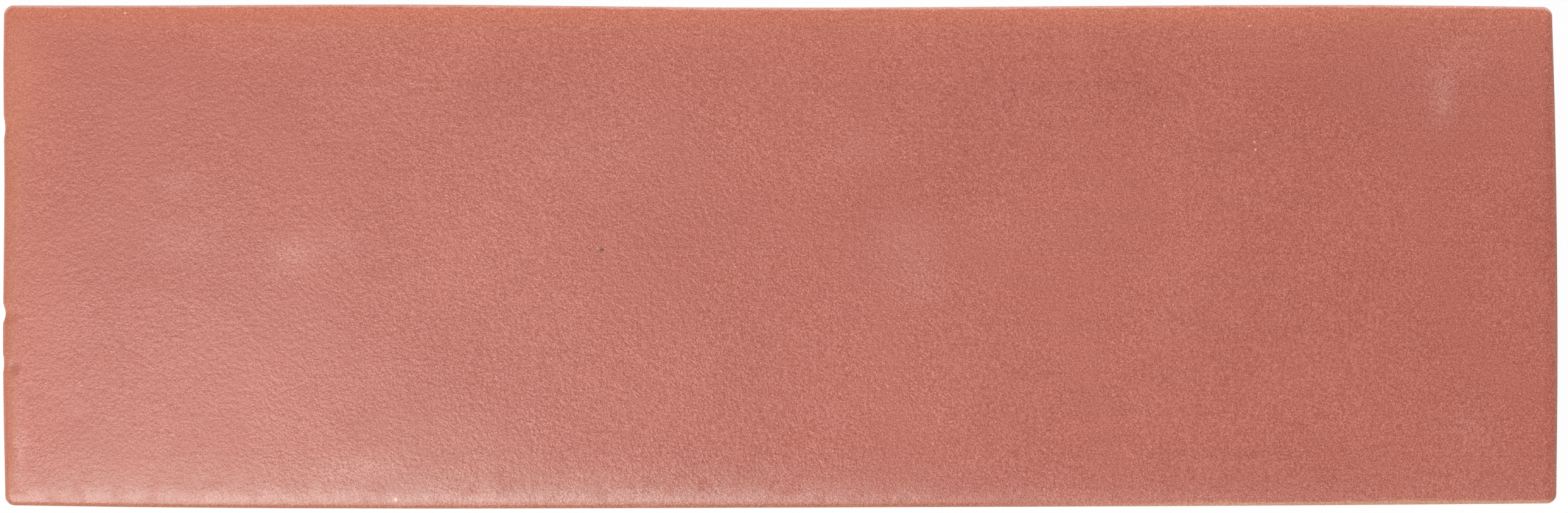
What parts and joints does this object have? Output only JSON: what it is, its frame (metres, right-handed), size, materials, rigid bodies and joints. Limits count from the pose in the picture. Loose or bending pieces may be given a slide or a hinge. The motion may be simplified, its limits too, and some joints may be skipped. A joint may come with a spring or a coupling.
{
  "type": "porcelain tile",
  "caption": "Long glazed porcelain wall tile with a pillowed, gently wavy face, rolled edges and a pocketed back that keys into adhesive.",
  "frame": {"origin": "middle of the back, on the plane that the tile beds on", "axes": "+X along the length, +Y along the width, +Z out of the glazed face"},
  "size_m": [0.2, 0.0648, 0.0085],
  "materials": {
    "glazed_porcelain": "satin"
  },
  "bodies": {
    "root": {"porcelain_tile": "glazed_porcelain"}
  },
  "joints": []
}
